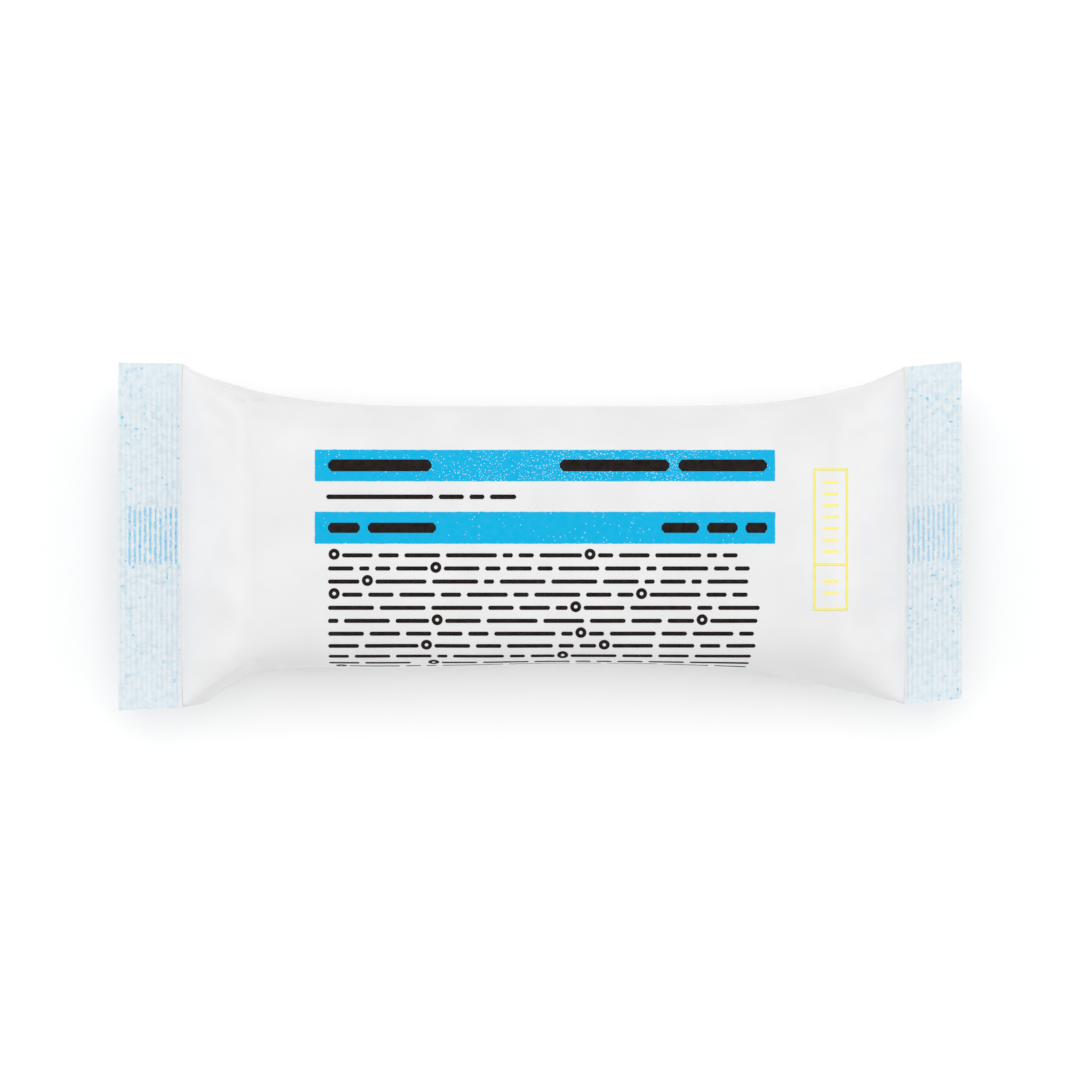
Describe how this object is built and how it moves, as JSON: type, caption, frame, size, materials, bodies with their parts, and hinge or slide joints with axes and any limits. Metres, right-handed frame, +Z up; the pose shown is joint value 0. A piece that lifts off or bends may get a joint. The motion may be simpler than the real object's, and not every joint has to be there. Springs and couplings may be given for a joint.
{
  "type": "sealed bandage packet",
  "caption": "Pillow-shaped white film packet with crimped ribbed ends and a welded back seam, holding a flattened gauze roll and a folded wound pad.",
  "frame": {"origin": "on the surface that the packet lies on, under the middle of its outline", "axes": "+X along the packet from the left seal to the right one, +Y towards its far long side, +Z up from the surface through the printed face"},
  "size_m": [0.15, 0.0622, 0.0247],
  "materials": {
    "white_film": "white printed film, soft satin",
    "crimped_film": "white film with mottled pale blue ink, pressed into fine ribs",
    "gauze": "open elastic cotton gauze",
    "wound_dressing": "soft absorbent nonwoven"
  },
  "bodies": {
    "root": {"film_wrapper": "white_film", "back_seam": "white_film", "left_end_seal": "crimped_film", "right_end_seal": "crimped_film", "bandage_roll": "gauze", "wound_pad": "wound_dressing"}
  },
  "joints": []
}
